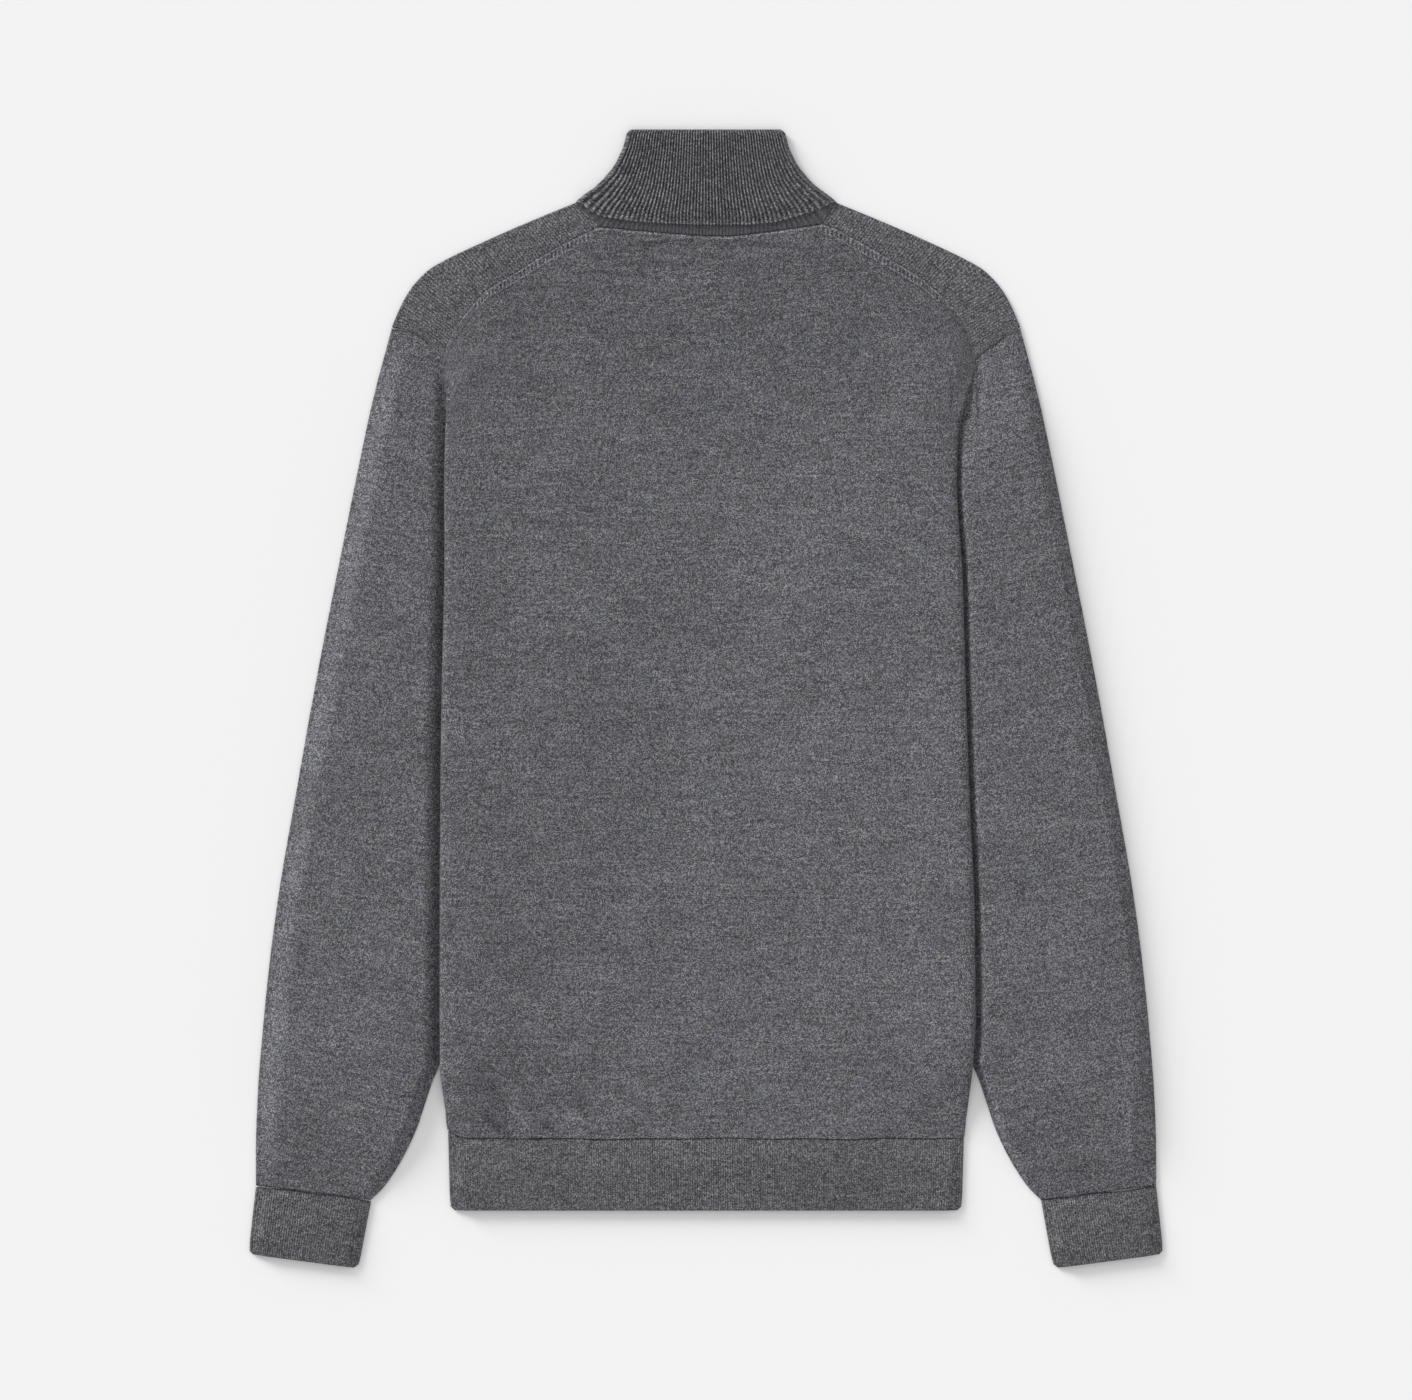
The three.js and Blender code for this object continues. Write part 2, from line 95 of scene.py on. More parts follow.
# The back's side edges are puffed up: how much, over how far inward, from where down, and over how far down
EDGE_PUFF, PUFF_FALL, PUFF_TOP, PUFF_RUN = 3.8, 55, 212, 110
WOOL = (0.109, 0.1055, 0.1098), (0.0935, 0.0965, 0.1108)
WALE, COURSE = 1.45, 1.15
NOISE_SHIFT = (0.3, 0.6, 0.43)
GRAIN_SIZE, GRAIN_TONE = (1.1, 0.9), 0.7
STREAK_SIZE, STREAK_TONE = (17.0, 1.4), 1.05
PATCH_SIZE, PATCH_TONE = (60.0, 32.0), 0.3
FIBRE_SIZE, FIBRE_MIX = (2.6, 2.0), 3.0
SPECK_SIZE, SPECK_TONE = 0.68, 1.85
STITCH_TONE, STITCH_RELIEF = 0.03, 0.2


def table(names, rows):
    """A dictionary of columns, one array for each name."""
    return dict(zip(names.split(), np.array(rows, float).T))


def curve(at, xs, ys):
    """Smooth curve through points: a cubic between neighbours. Its slope at a point is the harmonic mean of
    the slopes on both sides, or none where they differ in sign, so it never runs beyond the points."""
    if xs[-1] < xs[0]:
        xs, ys = xs[::-1], ys[::-1]
    step = np.diff(xs)
    slope = np.diff(ys) / step
    before, after = slope[:-1], slope[1:]
    same = before * after > 0
    inner = np.where(same, 2 * before * after / np.where(same, before + after, 1), 0)
    bend = np.concatenate([slope[:1], inner, slope[-1:]])
    at = np.asarray(at, float)
    i = np.clip(np.searchsorted(xs, at) - 1, 0, len(xs) - 2)
    t = np.clip((at - xs[i]) / step[i], 0, 1)
    return (ys[i] * (1 + 2 * t) * (1 - t) ** 2 + bend[i] * step[i] * t * (1 - t) ** 2
            + ys[i + 1] * t * t * (3 - 2 * t) + bend[i + 1] * step[i] * t * t * (t - 1))


def mix(a, b, t):
    return a + (b - a) * t


def smooth(t):
    """Soft step from 0 to 1: three t squared less two t cubed."""
    t = np.clip(t, 0, 1)
    return t * t * (3 - 2 * t)


def hill(at, middle, width):
    """Soft bump of height 1: falls off as the bell curve of the distance over the width."""
    return np.exp(-((at - middle) / width) ** 2)


def travelled(points, axis):
    """Length along a grid of points in one direction, from its first point."""
    steps = np.linalg.norm(np.diff(points, axis=axis), axis=-1)
    zero = np.zeros_like(np.take(steps, [0], axis))
    return np.concatenate([zero, np.cumsum(steps, axis)], axis)


def cloth(name, walls, material):
    """One object of closed walls. Each wall is (outer, inner, maps, ringed): two grids of points, across by
    along, joined at their rims, and the named maps that place the knit and its seams on them."""
    points, faces, corners, start = [], [], {}, 0
    for outer, inner, maps, ringed in walls:
        n, m = outer.shape[:2]
        grid = np.concatenate([outer.reshape(-1, 3), inner.reshape(-1, 3)])
        grid[:, 2] = np.maximum(grid[:, 2], 0)
        i, j = np.arange(n if ringed else n - 1)[:, None], np.arange(m - 1)[None]
        last, end = m - 1, n - 1
        quads = [
            [(0, i, j), (0, i + 1, j), (0, i + 1, j + 1), (0, i, j + 1)],
            [(1, i, j), (1, i, j + 1), (1, i + 1, j + 1), (1, i + 1, j)],
            [(0, i + 1, 0), (0, i, 0), (1, i, 0), (1, i + 1, 0)],
            [(0, i, last), (0, i + 1, last), (1, i + 1, last), (1, i, last)],
        ]
        if not ringed:
            quads += [
                [(0, 0, j), (0, 0, j + 1), (1, 0, j + 1), (1, 0, j)],
                [(0, end, j + 1), (0, end, j), (1, end, j), (1, end, j + 1)],
            ]
        side, across, along = (
            np.concatenate([np.stack([np.broadcast_arrays(*corner)[k] for corner in quad], -1).reshape(-1, 4)
                            for quad in quads]) for k in range(3))
        index = side * n * m + (across % n) * m + along
        a, b, c, d = (grid[index[:, k]] for k in range(4))
        volume = np.sum(a * (np.cross(b, c) + np.cross(c, d)))
        turn = slice(None, None, -1) if volume < 0 else slice(None)
        faces.append((index + start)[:, turn])
        for key, values in maps.items():
            placed = values.reshape(-1, 2)[(across * m + along)[:, turn]]
            corners.setdefault(key, []).append(placed.reshape(-1, 2))
        points.append(grid)
        start += len(grid)
    mesh = bpy.data.meshes.new(name)
    mesh.from_pydata((np.concatenate(points) * 0.001).tolist(), [], np.concatenate(faces).tolist())
    for key, values in corners.items():
        mesh.uv_layers.new(name=key).uv.foreach_set("vector", np.concatenate(values).ravel())
    mesh.shade_smooth()
    mesh.set_sharp_from_angle(angle=math.radians(55))
    mesh.materials.append(material)
    piece = bpy.data.objects.new(name, mesh)
    scene.collection.objects.link(piece)
    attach(piece, "root")
    return piece


def knit(name, light, dark, wale, course, streaks=1.0, rib=None, marks=None):
    """Wool yarn of light and dark fibres, knitted. Its tone is 1 plus streaks along the courses, grain,
    specks and stitches, and the colour is the yarn's times e to the tone less 1. wale and course are the
    stitch's width and height. rib is the ribs' pitch and how much painted shade darkens their grooves and
    painted light lightens their tops. marks adds a seam's own lines and stitches, and on some pieces painted
    shade and light, to tone and relief."""
    material = bpy.data.materials.new(name)
    material.use_nodes = True
    nodes, links = material.node_tree.nodes, material.node_tree.links
    shader = nodes["Principled BSDF"]

    def put(kind, *values, **settings):
        node = nodes.new("ShaderNode" + kind)
        for key, value in settings.items():
            setattr(node, key, value)
        for socket, value in zip(node.inputs, values):
            if isinstance(value, bpy.types.NodeSocket):
                links.new(value, socket)
            elif value is not None:
                socket.default_value = value
        return node

    def calc(operation, *values):
        return put("Math", *values, operation=operation).outputs[0]

    def noise(place, size, detail):
        finer = (1 / size[0], 1 / size[1], 1)
        scaled = put("VectorMath", place, finer, NOISE_SHIFT, operation="MULTIPLY_ADD")
        return put("TexNoise", scaled.outputs[0], None, 1.0, detail).outputs["Fac"]

    def add(tone, fac, strength):
        return calc("MULTIPLY_ADD", calc("SUBTRACT", fac, 0.5), strength, tone)

    place = put("UVMap", uv_map="knit").outputs[0]
    parts = put("SeparateXYZ", place).outputs
    leg = calc("ABSOLUTE", calc("SUBTRACT", calc("FRACT", calc("DIVIDE", parts[0], wale)), 0.5))
    row = calc("ADD", calc("DIVIDE", parts[1], course), leg)
    cell = [calc("FLOOR", calc("DIVIDE", part, SPECK_SIZE)) for part in parts[:2]]
    cell = put("CombineXYZ", *cell).outputs[0]
    speck = put("TexWhiteNoise", cell, noise_dimensions="2D").outputs["Value"]
    stitch = calc("ADD", calc("SINE", calc("MULTIPLY", row, 2 * math.pi)), calc("MULTIPLY", leg, -2.4))
    grain = noise(place, GRAIN_SIZE, 2.0)
    tone = add(1.0, noise(place, STREAK_SIZE, 3.0), STREAK_TONE * streaks)
    tone = add(tone, grain, GRAIN_TONE)
    tone = add(tone, speck, SPECK_TONE)
    tone = add(tone, noise(place, PATCH_SIZE, 1.0), PATCH_TONE * streaks)
    tone = calc("MULTIPLY_ADD", stitch, STITCH_TONE, tone)
    relief = calc("MULTIPLY_ADD", stitch, STITCH_RELIEF, grain)
    if rib:
        # Painted shade in the ribs' grooves and painted light on their tops
        painted_rib_shading = calc("COSINE", calc("MULTIPLY", parts[0], 2 * math.pi / rib[0]))
        tone = calc("MULTIPLY_ADD", painted_rib_shading, rib[1], tone)
    if marks:
        tone, relief = marks(put, calc, tone, relief)
    yarn = put("Mix", None, data_type="RGBA")
    links.new(add(0.5, noise(place, FIBRE_SIZE, 1.0), FIBRE_MIX), yarn.inputs["Factor"])
    yarn.inputs[6].default_value, yarn.inputs[7].default_value = (*dark, 1), (*light, 1)
    strength = calc("EXPONENT", calc("SUBTRACT", tone, 1.0))
    colour = put("VectorMath", yarn.outputs[2], None, None, strength, operation="SCALE")
    links.new(colour.outputs[0], shader.inputs["Base Color"])
    bump = put("Bump")
    bump.inputs["Strength"].default_value = 0.3
    bump.inputs["Distance"].default_value = 0.00035
    links.new(relief, bump.inputs["Height"])
    links.new(bump.outputs[0], shader.inputs["Normal"])
    shader.inputs["Roughness"].default_value = 0.92
    shader.inputs["Specular IOR Level"].default_value = 0.18
    shader.inputs["Sheen Weight"].default_value = 0.12
    shader.inputs["Sheen Roughness"].default_value = 0.45
    return material


# tuck: where the folded side ends below. lift: layers under the front panel's side. ramp: how wide the panel
# comes down. bend: how much the row follows the top line. fold: 1 where the side is turned right under.
BODY = table("y left right tuck ramp lift bend fold", [
    (238.5, 183.4, 188, 177.4, 18, 0, 1, 0), (222, 182.3, 185.2, 176.5, 22, 1.6, 0.82, 0),
    (205, 181.6, 181, 175.2, 30, 4, 0.64, 1), (185, 182.4, 176.5, 163.8, 40, 4, 0.46, 1),
    (150, 183.2, 175.4, 138, 45, 4, 0.22, 1), (118, 183, 177, 112, 45, 4, 0.1, 1),
    (95, 182.9, 179, 102, 45, 4, 0.04, 1), (65, 183.5, 180, 106, 45, 4, 0, 1),
    (10, 184.7, 181.5, 122, 45, 4, 0, 1), (-70, 185.8, 184.3, 142.2, 45, 4, 0, 1),
    (-160, 186.2, 188, 163.6, 45, 4, 0, 1), (-225, 186.2, 188.4, 179.1, 45, 4, 0, 1),
    (-256, 186.1, 186.6, 180.1, 45, 4, 0, 1), (-280, 183.8, 183.9, 177.8, 45, 2, 0, 1),
    (-307.5, 180.7, 180.2, 174.5, 45, 0, 0, 0),
])
ROW_SPREAD = table("share y", [(0, 238.5), (0.1, 226), (0.22, 200), (0.8, -250), (1, -307.5)])
BACK_TOP = table("x y", [
    (-183.4, 238.5), (-181.3, 247.6), (-175.7, 259.5), (-168, 270), (-159.6, 280.5), (-153.3, 286.8),
    (-131.6, 299.4), (-121.1, 306.4), (-99.4, 319), (-75.6, 330.2), (-39.2, 326.7), (-4.2, 323.9),
    (17.5, 323.6), (38.5, 326), (60.2, 328.8), (81.9, 332.3), (91.7, 328.8), (114.1, 316.2),
    (130.2, 307.1), (151.2, 294.5), (167.3, 280.5), (178.5, 267.9), (184.8, 254.6), (188, 238.5),
])
FRONT_NECK = table("x y", [(0, 300), (20, 301.4), (40, 306), (60, 315.5), (75.6, 330.2), (81.9, 336.7)])
CORNER_PULL, PULL_TOP = 7.5, -262
# Soft waves laid into the panel: long hollows and ridges, size the height in mm
CREASES = table("x y turn long wide size", [
    (-168, -288, 118, 18, 3.4, 2.8), (-141, -285, 112, 24, 4.2, -2.2), (-128, -286, 114, 24, 5, 2.4),
    (-100, -288, 118, 20, 4.5, -1.8), (-90, -286, 116, 20, 5, 1.4),
    (-150, -235, 75, 45, 16, 1.2), (-60, -150, 80, 120, 40, 0.9), (70, 40, 95, 140, 45, 0.8),
    (-20, 210, 10, 70, 18, 0.5), (-48, 317, 9, 30, 3, 1.1), (-32, 307, -6, 26, 3, 0.8),
    (62, 319, -9, 18, 3, 1.1), (44, 310, 6, 22, 3, 0.7), (110, -230, 85, 70, 22, 0.7),
    (20, -262, 12, 60, 12, 0.5), (-10, 262, -4, 55, 9, 0.5), (85, 280, 40, 40, 10, 0.6),
    (-95, 285, 150, 40, 9, 0.6), (160, 195, 95, 50, 9, 0.6),
])


def body_column(y, name):
    return curve(y, BODY["y"], BODY[name])


def top_line(x, front):
    """The panel's top edge: straight between its corners, and on the front the lower of that and its neck."""
    seam = np.interp(x, BACK_TOP["x"], BACK_TOP["y"])
    return np.minimum(seam, curve(np.abs(x), FRONT_NECK["x"], FRONT_NECK["y"])) if front else seam


def seam_pull(x):
    """The hem seam is drawn up at its left end and waves a little: a bell at the corner and two sines."""
    return CORNER_PULL * hill(x, -184, 9) + 0.35 * np.sin(x / 9.0) + 0.3 * np.sin(x / 23.0 + 1)


def creases(x, y):
    """Sum of long soft ridges: each a bell across its width and along its length, turned by its angle."""
    total = 0
    for cx, cy, turn, long, wide, size in zip(*CREASES.values()):
        a = math.radians(turn)
        along = (x - cx) * math.cos(a) + (y - cy) * math.sin(a)
        side = (y - cy) * math.cos(a) - (x - cx) * math.sin(a)
        total = total + size * hill(along, 0, long) * hill(side, 0, wide)
    return total


def body_wall(front, columns, rows):
    """A panel with its two folded sides. The path across runs from one tuck's end round the fold's arc, over
    the flat panel and round the other fold. The side stands on the sleeve and comes down by a soft step."""
    radius = INNER_BEND if front else OUTER_BEND
    y = curve(np.linspace(0, 1, rows), ROW_SPREAD["share"], ROW_SPREAD["y"])
    lift = body_column(y, "lift") * LAYER
    fold = np.interp(y, BODY["y"][::-1], BODY["fold"][::-1])
    angle = math.pi * fold
    base = LOWER if front else UPPER
    tuck, ramp, bend = (body_column(y, name) for name in ("tuck", "ramp", "bend"))
    ramp = ramp * RAMP_STRETCH
    puff = 0 * y if front else EDGE_PUFF * smooth(lift / LAYER / 4) * smooth((PUFF_TOP - y) / PUFF_RUN)
    radius = radius + puff / 2
    starts, sides = [], []
    for sign, name in ((-1, "left"), (1, "right")):
        edge = body_column(y, name)
        start = edge - (radius + HALF) * np.sin(np.minimum(angle, math.pi / 2))
        length = np.maximum(0.4, (start - tuck) * smooth((fold - 0.8) / 0.2))
        turn = angle * np.linspace(0, 1, 10)[1:, None]
        x, z = start + radius * np.sin(turn), base + lift + puff - radius * (1 - np.cos(turn))
        run = np.linspace(0, 1, 7)[1:, None] * length
        x = np.concatenate([x, x[-1] + np.cos(angle) * run])
        z = np.concatenate([z, z[-1] - np.sin(angle) * run])
        turn = np.concatenate([turn, np.repeat(turn[-1:], 6, 0)])
        sides.append((sign * x, z, sign * np.sin(turn), np.cos(turn)))
        starts.append(sign * start)
    share = np.linspace(0, 1, columns)[:, None]
    x = mix(starts[0], starts[1], share)
    down = 1 - smooth((tuck - RAMP_CLEAR - np.abs(x)) / ramp)
    inward = np.minimum(x - starts[0], starts[1] - x)
    z = base + lift * down + puff * (1 - smooth(inward / PUFF_FALL))
    (lx, lz, lnx, lnz), (rx, rz, rnx, rnz) = sides
    x = np.concatenate([lx[::-1], x, rx])
    z = np.concatenate([lz[::-1], z, rz])
    nx = np.concatenate([lnx[::-1], np.zeros((columns, rows)), rnx])
    nz = np.concatenate([lnz[::-1], np.ones((columns, rows)), rnz])
    rise = top_line(np.clip(x[:, :1], BACK_TOP["x"][0], BACK_TOP["x"][-1]), front) - BODY_TOP
    plan_y = y + rise * bend
    plan_y = plan_y + seam_pull(x) * smooth((PULL_TOP - y) / 45)
    if not front:
        z = z + creases(x, plan_y) * np.pad(smooth(inward / 5), ((len(lx), len(rx)), (0, 0)))
    middle = np.stack([x, plan_y, z], -1)
    normal = np.stack([nx, np.zeros_like(nx), nz], -1)
    edge_line = travelled(middle[:, :1], 0)
    u = travelled(middle, 0)
    u = u - u[len(u) // 2]
    away = (top_line(x, front) - plan_y) * 0.9
    maps = {"knit": np.stack([u, plan_y], -1), "seam": np.stack([edge_line + 0 * away, away], -1)}
    return middle + HALF * normal, middle - HALF * normal, maps, False


SEAM_MIDDLE, NECK_LENGTH, LADDER_END, RUNG_PITCH = 224, 164, 178, 3.2
# Painted shade on the back: how far below the top seam it fades out, and how much it darkens the tone at the
# seam
YOKE_DEPTH, YOKE_PAINTED_SHADE = 170, -0.16
# Lines along the seam, as distance from the edge and width: painted shade along the very edge, the pale link,
# the moved stitches, the pale rail beside them and the dark row beyond it
EDGE_SHADE_LINE, LINK_LINE, MOVED_LINE = (0.1, 0.8), (1.2, 1.2), (3.7, 3.8)
RAIL_LINE, ROW_LINE = (5.9, 1.1), (7.2, 1.1)
# Painted shade in the deepest creases, and painted light on two ridges: place, angle, half length, half width,
# strength
PAINTED_CREASE_SHADING = [
    ((-150, -297), 140, 12, 3.4, -0.5), ((-110, -300), 140, 9, 3, -0.42), ((-88, -284), 150, 15, 4, -0.22),
    ((-164, -290), 140, 15, 4, 0.2), ((-128, -295), 140, 13, 5, 0.18), ((-50, 318), 4, 24, 2.4, -0.42),
    ((-66, 297), -3, 26, 2.6, -0.3), ((24, 319), -2, 26, 2, -0.32), ((-38, 305), 0, 34, 2.6, -0.18),
    ((183, 212), 91, 15, 1.3, -0.5),
]


def fashioning_and_painted_shading(put, calc, tone, relief):
    """Marks along the shoulder seam: a pale linked edge with painted shade along its very edge, and a strip of
    moved stitches beside it. Below them, shade is painted into the deepest creases and light onto two ridges:
    each is a bell across its width and along its length, turned by its angle. Painted shade also darkens the
    back toward its top seam."""
    along, away, _ = put("SeparateXYZ", put("UVMap", uv_map="seam").outputs[0]).outputs
    rung = calc("SINE", calc("MULTIPLY", along, 2 * math.pi / RUNG_PITCH))

    def line(middle, width):
        return calc("COMPARE", away, middle, width / 2)

    side = calc("ABSOLUTE", calc("SUBTRACT", along, SEAM_MIDDLE))
    shoulder = calc("MULTIPLY", calc("GREATER_THAN", side, NECK_LENGTH / 2),
                    calc("LESS_THAN", side, LADDER_END))
    outer = calc("GREATER_THAN", side, NECK_LENGTH / 2 + 30)
    marked = calc("MULTIPLY", calc("MULTIPLY", rung, line(*MOVED_LINE)), shoulder)
    rails = calc("ADD", line(*LINK_LINE), calc("MULTIPLY", line(*RAIL_LINE), calc("MULTIPLY", shoulder, 0.8)))
    tone = calc("MULTIPLY_ADD", marked, 0.5, calc("MULTIPLY_ADD", rails, 0.5, tone))
    tone = calc("MULTIPLY_ADD", line(*ROW_LINE), calc("MULTIPLY", outer, -0.4), tone)
    # Painted shade along the seam's very edge
    tone = calc("MULTIPLY_ADD", line(*EDGE_SHADE_LINE), -0.35, tone)
    place = put("UVMap", uv_map="knit").outputs[0]
    # Painted shade in the deepest creases, painted light on two ridges
    for centre, angle, long, wide, strength in PAINTED_CREASE_SHADING:
        turned = put("VectorRotate", place, (*centre, 0), None, -math.radians(angle)).outputs[0]
        near = put("VectorMath", turned, (*centre, 0), operation="SUBTRACT").outputs[0]
        near = put("VectorMath", near, (1 / long, 1 / wide, 0), operation="MULTIPLY").outputs[0]
        spread = put("VectorMath", near, near, operation="DOT_PRODUCT").outputs["Value"]
        tone = calc("MULTIPLY_ADD", calc("EXPONENT", calc("MULTIPLY", spread, -1.0)), strength, tone)
    # Painted shade: the back darkens toward its top seam
    painted_yoke_shade = calc("SUBTRACT", 1.0, calc("MINIMUM", calc("DIVIDE", away, YOKE_DEPTH), 1.0))
    return calc("MULTIPLY_ADD", painted_yoke_shade, YOKE_PAINTED_SHADE, tone), calc("MULTIPLY_ADD", marked, 1.5, relief)


jersey_back = knit("jersey_back", *WOOL, WALE, COURSE, marks=fashioning_and_painted_shading)
back = cloth("back_panel_knit", [body_wall(False, 165, 185)], jersey_back)
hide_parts("back_panel")

# Front panel: plain knit wool, nearly all hidden below. Its two shoulders come up over the top and are linked
# to the back a little way down, so they show as bands between the outline and the fashioned seam.
SEAM_X = table("left right", [
    (75.6, 81.9), (103, 107), (135, 138), (157.9, 160.5), (163.9, 166.5), (169.9, 172.5), (175.9, 178.5),
    (180.4, 184), (183.4, 188)])
SHOULDER = table("x y bulge", [
    (91.7, 346.6, 0), (118.5, 335.9, 0), (153.5, 320.7, 0), (182, 307.2, 0), (193.6, 300.4, 0),
    (202.6, 291.8, 0), (209.2, 283.4, 0.1), (214.9, 272.2, 0.4), (219.8, 260.2, 1)])
NECK_REACH, NECKWARD = 1.8, (0.87, -0.5)
SLEEVE_SEAM = {
    "left": table("t x y", [(0.4, 197.3, 252.3), (0.63, 206.4, 257.8)]),
    "right": table("t x y", [(0.4, 203.4, 249.6), (0.63, 210.6, 254.9)]),
}


def shoulder_wall(sign, along, across):
    """A shoulder band. Each of its lines runs from the seam out under the band, round the fold's arc at the
    outline and back over it to the seam. At the outer end the line bulges to the sleeve seam's curve."""
    station = np.linspace(0, 8, along)
    n = np.arange(9.0)
    reach_in = NECK_REACH * np.clip(1 - station, 0, 1)
    seam_x = curve(station, n, SEAM_X["left" if sign < 0 else "right"])
    seam_y = np.interp(sign * seam_x, BACK_TOP["x"], BACK_TOP["y"])
    fold_x, fold_y = curve(station, n, SHOULDER["x"]), curve(station, n, SHOULDER["y"])
    bulge = curve(station, n, SHOULDER["bulge"])
    dx, dy = fold_x - seam_x, fold_y - seam_y
    length = np.hypot(dx, dy)
    reach = length - INNER_BEND - HALF
    t = np.linspace(0, 1, across)[:, None]
    start = np.where(t == 0, GAP, 0)
    straight = np.stack([seam_x + dx / length * np.maximum(reach * t, start),
                         seam_y + dy / length * np.maximum(reach * t, start)], -1)
    seam = SLEEVE_SEAM["left" if sign < 0 else "right"]
    way = np.array([0, *seam["t"], 1])
    bent = np.stack([curve(t[:, 0], way, np.array([seam_x[-1], *seam["x"], straight[-1, -1, 0]])),
                     curve(t[:, 0], way, np.array([seam_y[-1], *seam["y"], straight[-1, -1, 1]]))], -1)
    plan = mix(straight, bent[:, None], bulge[None, :, None])
    turn = np.linspace(-math.pi / 2, math.pi / 2, 9)[1:-1, None]
    outward = np.stack([dx / length, dy / length], -1)
    crown = 0.5 * np.sin(math.pi * t) ** 2
    plan = plan - reach_in[:, None] * NECKWARD

    def face(out):
        under = np.concatenate([plan, np.broadcast_to(LOWER - out, (*plan.shape[:2], 1))], -1)
        over = np.concatenate([plan, (UPPER + out + crown + 0 * station)[..., None]], -1)
        bend = INNER_BEND + out
        rim = plan[-1] + outward * (bend * np.cos(turn))[..., None]
        rim = np.concatenate([rim, (LAYER - GAP / 2 + bend * np.sin(turn) + 0 * station)[..., None]], -1)
        return np.concatenate([under, rim, over[::-1]])

    outer = face(HALF)
    outer[..., 0] *= sign
    inner = face(-HALF)
    inner[..., 0] *= sign
    u = travelled(outer[len(outer) - 1:], 1) + 0 * outer[..., 0]
    v = travelled(outer, 0)
    v = v[-1:] - v
    maps = {"knit": np.stack([u, v], -1), "seam": np.stack([v, u.max() - u], -1)}
    return outer, inner, maps, False


SEW_PITCH, SEW_SHADE = 3.1, -0.85


def sewn_edge(put, calc, tone, relief):
    """A linked seam's shadow: the stitches beside a sewn edge lie deep, so they show dark in short steps."""
    along, away, _ = put("SeparateXYZ", put("UVMap", uv_map="seam").outputs[0]).outputs
    wave = calc("SINE", calc("MULTIPLY", along, 2 * math.pi / SEW_PITCH))
    deep = calc("LESS_THAN", away, calc("MULTIPLY_ADD", wave, 0.25, 0.75))
    return calc("MULTIPLY_ADD", deep, SEW_SHADE, tone), relief


jersey = knit("jersey", *WOOL, WALE, COURSE, marks=sewn_edge)
BAND_WALE = 2.1
shoulder_jersey = knit("shoulder_jersey", (0.096, 0.0925, 0.096), (0.0835, 0.0845, 0.095), BAND_WALE, COURSE,
                       streaks=0.6, rib=(BAND_WALE, 0.3), marks=sewn_edge)
front = cloth("front_panel_knit", [body_wall(True, 90, 110), shoulder_wall(-1, 110, 26),
                                   shoulder_wall(1, 110, 26)], shoulder_jersey)
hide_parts("front_panel")

# Sleeves: plain knit wool tubes, closed along the underarm and linked round the armhole. They lie flat beside
# the body with their inner parts under its folded sides.
SLEEVE_END = table("w x y edge", [
    (0, 219.8, 259.5, 0), (0.1, 206.5, 257.4, 0), (0.18, 197.5, 251.9, 0), (0.27, 183.8, 237.9, 1),
    (0.34, 183, 222, 1), (0.42, 182.4, 211.5, 1), (0.5, 171.4, 195.9, 0), (0.6, 157.8, 175.7, 0),
    (0.8, 130.4, 135.4, 0), (1, 103, 95, 0)])
SLEEVE_OUTER = table("y x", [
    (259.5, 219.8), (209.1, 233.1), (153.1, 245), (97.1, 256.2), (41.1, 267.4), (-14.9, 277.9),
    (-70.9, 287.7), (-126.9, 297.5), (-182.9, 305.2), (-238.9, 310.8), (-275.3, 313.6), (-317.3, 315),
    (-340.4, 315)])
SLEEVE_INNER = table("y x", [
    (95, 103), (-254, 186), (-266.9, 191.1), (-283.7, 196.7), (-300.5, 202.3), (-317.3, 210), (-334, 219.8),
    (-342.5, 226.1), (-350.6, 234.4)])
SLEEVE_ROWS = table("outer inner end swell", [
    (259.5, 95, 1, 0), (236, 84, 0.72, 0.5), (208, 70, 0.45, 0.9), (170, 48, 0.2, 1), (110, 10, 0.04, 1),
    (30, -50, 0, 1), (-60, -115, 0, 1), (-150, -185, 0, 1), (-215, -235, 0, 1), (-258, -268, 0, 1),
    (-292, -300, 0, 0.9), (-320, -327, 0, 0.5), (-340.4, -350.6, 0, 0)])
RIGHT_END = (210.8, 203.7), (254.6, 249.3)
SLEEVE_SWELL, SLEEVE_SLANT = {"left": 9.5, "right": 8}, math.radians(11)
SWELL_RISE = {"left": 17, "right": 9}
# Beside the body the sleeve's swell starts this far from the body's edge, and takes this far to rise
VALLEY = {"left": (1.2, 7.5), "right": (0.3, 5)}
# Creases laid into each sleeve's upper side: x is the distance from the middle of the sweater
LEFT_CREASES = [(262, -150, 82, 90, 9, 0.5), (240, 60, 76, 60, 10, 0.5), (288, -280, 88, 60, 8, 0.5),
                (214, 215, 40, 20, 6, 0.5)]
RIGHT_CREASES = [(298.5, -300, 92, 38, 3.5, 1.5), (250, 20, 100, 90, 10, 0.6), (270, -190, 96, 70, 12, 0.5),
                 (206, 210, 75, 30, 6, 0.6), (191.5, 212, 92, 26, 2.2, -2.6), (196.5, 208, 88, 24, 3, 1.6)]


